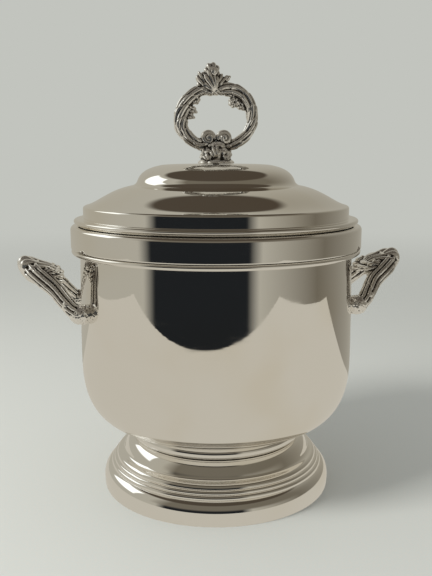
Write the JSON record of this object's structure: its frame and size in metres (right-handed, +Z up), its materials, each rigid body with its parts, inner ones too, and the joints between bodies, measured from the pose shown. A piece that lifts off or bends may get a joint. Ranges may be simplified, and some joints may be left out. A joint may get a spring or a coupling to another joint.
{
  "type": "ice bucket",
  "caption": "Round silver-plated ice bucket on a pedestal foot, with a glass liner, lift-off domed lid with a ring finial, and cast loop side handles.",
  "frame": {"origin": "centre of the foot's contact ring, on the surface that the bucket stands on", "axes": "+Z up along the axis of the bowl, X through both handles, Y across them"},
  "size_m": [0.2404, 0.176, 0.2594],
  "materials": {
    "silver_plate": "mirror-polished silver plate over spun brass",
    "cast_silver": "silver-plated casting, polished high spots and dark oxidised recesses",
    "steel_hardware": "bright zinc-plated steel",
    "liner_glass": "clear pressed glass",
    "gasket_rubber": "matt black rubber",
    "insulation_foam": "rigid pale foam",
    "cork_pad": "pressed cork"
  },
  "bodies": {
    "bucket": {"outer_shell": "silver_plate", "rim_collar": "silver_plate", "collar_bead": "silver_plate", "neck_ring": "silver_plate", "foot": "silver_plate", "foot_bolt": "steel_hardware", "foot_washer": "steel_hardware", "foot_nut": "steel_hardware", "insulation_sleeve": "insulation_foam", "insulation_base": "cork_pad", "handle_right": "cast_silver", "handle_left": "cast_silver", "liner_gasket": "gasket_rubber"},
    "liner": {"liner": "liner_glass"},
    "lid": {"lid_shell": "silver_plate", "lid_inner_pan": "silver_plate", "lid_insulation": "insulation_foam", "finial": "cast_silver", "finial_washer": "steel_hardware", "finial_screw": "steel_hardware"}
  },
  "joints": [
    {"name": "liner_lift", "type": "slide", "parent": "bucket", "child": "liner", "axis": [0, 0, 1], "range_m": [0, 0.125]},
    {"name": "lid_lift", "type": "slide", "parent": "liner", "child": "lid", "axis": [0, 0, 1], "range_m": [0, 0.09]}
  ]
}
